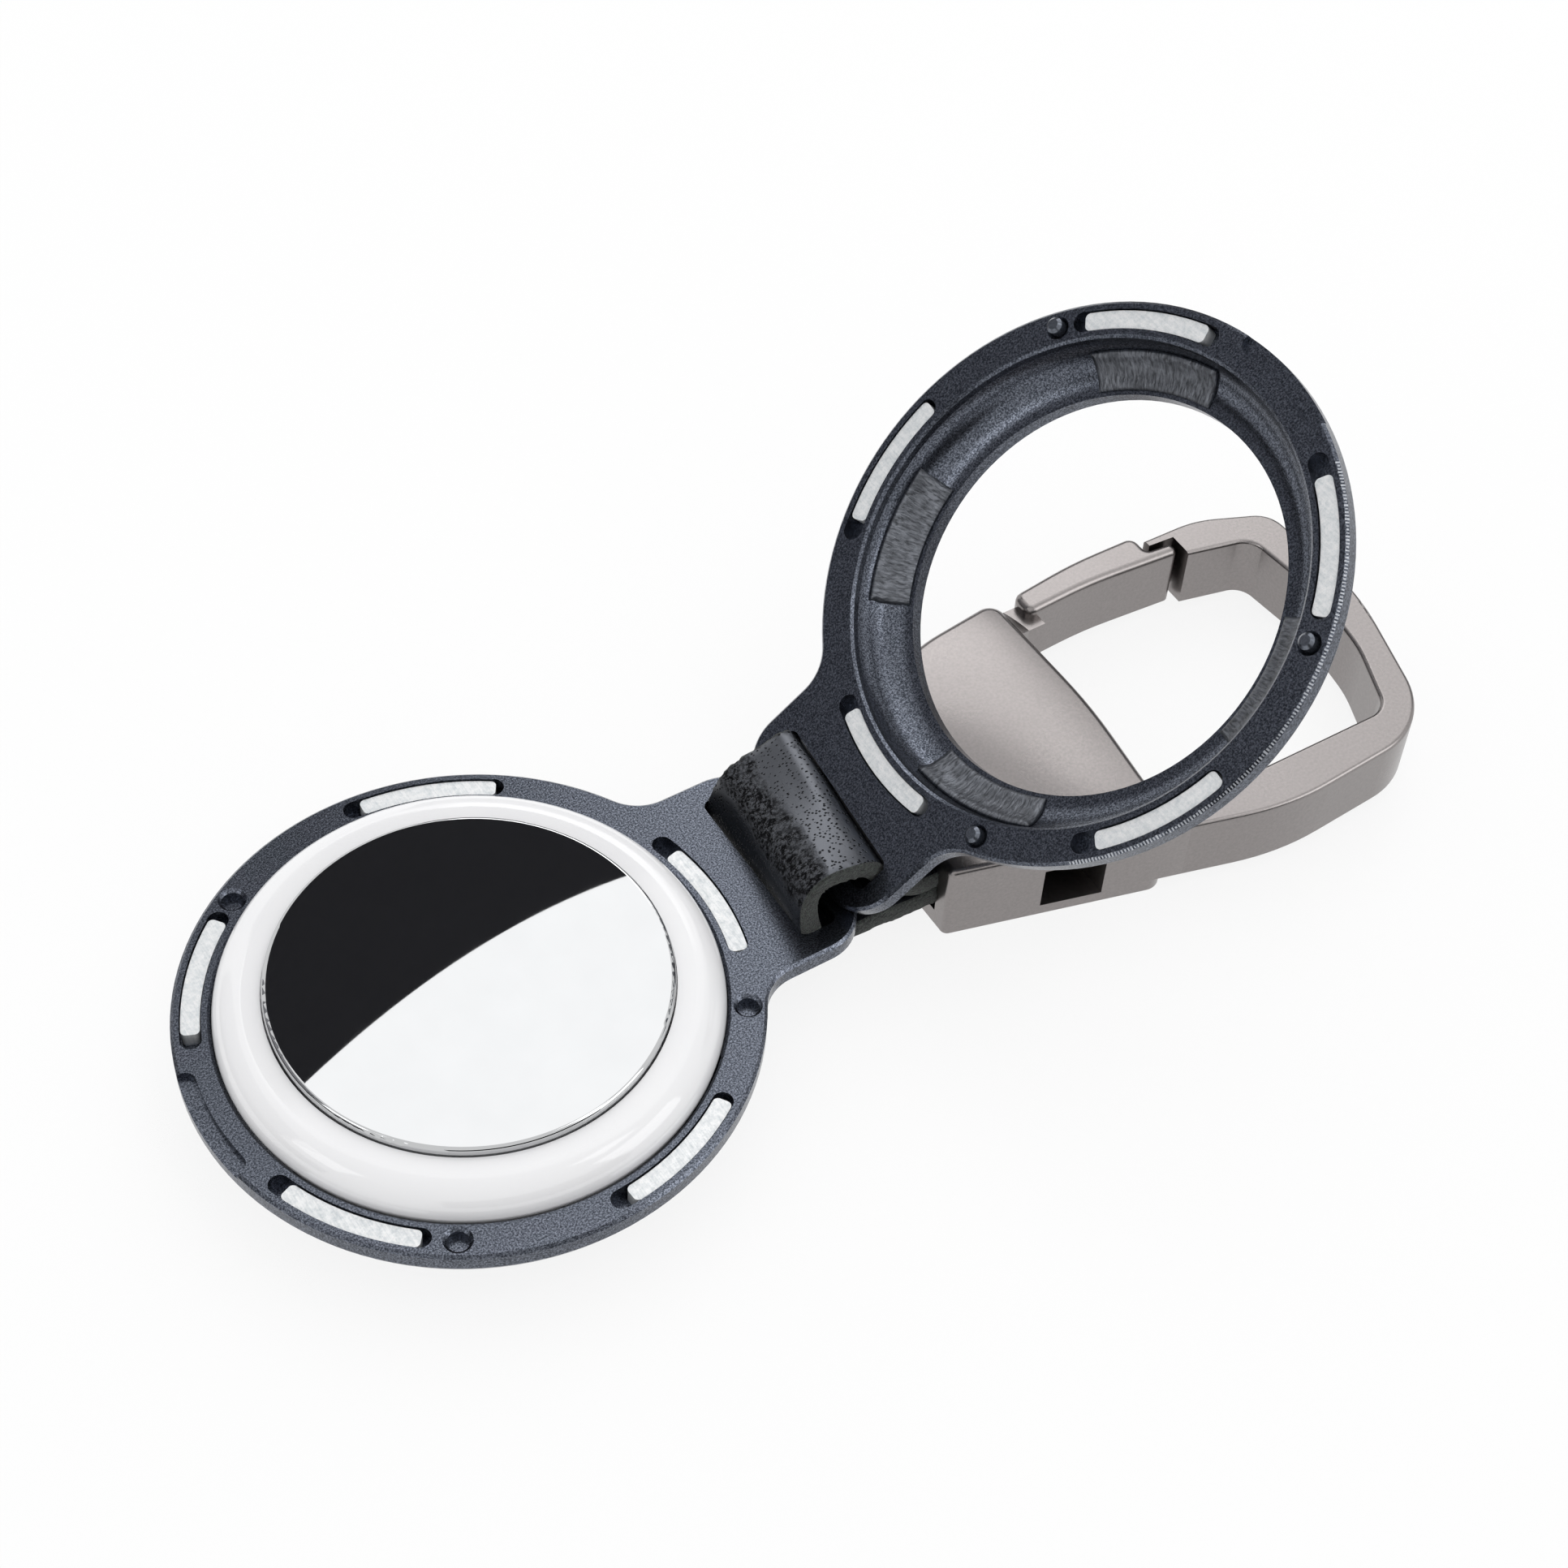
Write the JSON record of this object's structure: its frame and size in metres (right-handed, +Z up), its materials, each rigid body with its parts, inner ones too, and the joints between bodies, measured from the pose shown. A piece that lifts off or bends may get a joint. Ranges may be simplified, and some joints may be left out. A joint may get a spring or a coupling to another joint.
{
  "type": "tracker tag holder",
  "caption": "Tracker tag holder: magnetic clamshell rings on a leather loop, hung from a metal snap hook, with a round tag in its seat.",
  "frame": {"origin": "centre of the base ring's seat, on its inner face, where the tag is widest", "axes": "+X along the hinge tab towards the snap hook, +Z up out of the seat, +Y to the left of the way to the hook"},
  "size_m": [0.0888, 0.0388, 0.0347],
  "materials": {
    "ring_black": "sandblasted, black anodised",
    "magnet_nickel": "nickel plated, fine ground",
    "pin_steel": "turned",
    "pad_leather": "fine grain",
    "strap_leather": "pored grain, raw cut edges",
    "hook_metal": "satin gunmetal plate",
    "tag_white": "gloss",
    "tag_steel": "mirror polished",
    "cell_steel": "plain",
    "board_green": "plain"
  },
  "bodies": {
    "base": {"base_ring": "ring_black", "base_magnet_1": "magnet_nickel", "base_magnet_2": "magnet_nickel", "base_magnet_3": "magnet_nickel", "base_magnet_4": "magnet_nickel", "base_magnet_5": "magnet_nickel", "base_pad_1": "pad_leather", "base_pad_2": "pad_leather", "base_pad_3": "pad_leather", "base_pad_4": "pad_leather", "strap": "strap_leather"},
    "cover": {"cover_ring": "ring_black", "cover_magnet_1": "magnet_nickel", "cover_magnet_2": "magnet_nickel", "cover_magnet_3": "magnet_nickel", "cover_magnet_4": "magnet_nickel", "cover_magnet_5": "magnet_nickel", "cover_pin_1": "pin_steel", "cover_pin_2": "pin_steel", "cover_pin_3": "pin_steel", "cover_pad_1": "pad_leather", "cover_pad_2": "pad_leather", "cover_pad_3": "pad_leather", "cover_pad_4": "pad_leather"},
    "hook": {"hook_frame": "hook_metal", "strap_pin": "pin_steel", "gate_pin": "pin_steel", "gate_spring": "pin_steel"},
    "gate": {"gate": "hook_metal"},
    "tag": {"tag_shell": "tag_white", "tag_board": "board_green", "coin_cell": "cell_steel"},
    "tag_cap": {"tag_cap": "tag_steel"}
  },
  "joints": [
    {"name": "cover_hinge", "type": "hinge", "parent": "base", "child": "cover", "pos_m": [0.02445, 0, 0.00088], "axis": [0.041, 0.9992, 0], "range_deg": [-138.8, 0], "deforming": ["strap"]},
    {"name": "hook_swing", "type": "hinge", "parent": "base", "child": "hook", "pos_m": [0.0241, 0, -0.0006], "axis": [0, 1, 0], "range_deg": [0, 75], "deforming": ["strap"]},
    {"name": "gate_hinge", "type": "hinge", "parent": "hook", "child": "gate", "pos_m": [0.0451, 0.0095, -0.0019], "axis": [0, 0, 1], "range_deg": [-25, 0], "stiffness_Nm_per_rad": 0.01, "springref_deg": 20.05, "deforming": ["gate_spring"]},
    {"name": "tag_spin", "type": "hinge", "parent": "base", "child": "tag", "pos_m": [0, 0, 0], "axis": [0, 0, 1], "continuous": true},
    {"name": "tag_cap_twist", "type": "hinge", "parent": "tag", "child": "tag_cap", "pos_m": [0, 0, 0.0018], "axis": [0, 0, 1], "range_deg": [0, 20]}
  ]
}
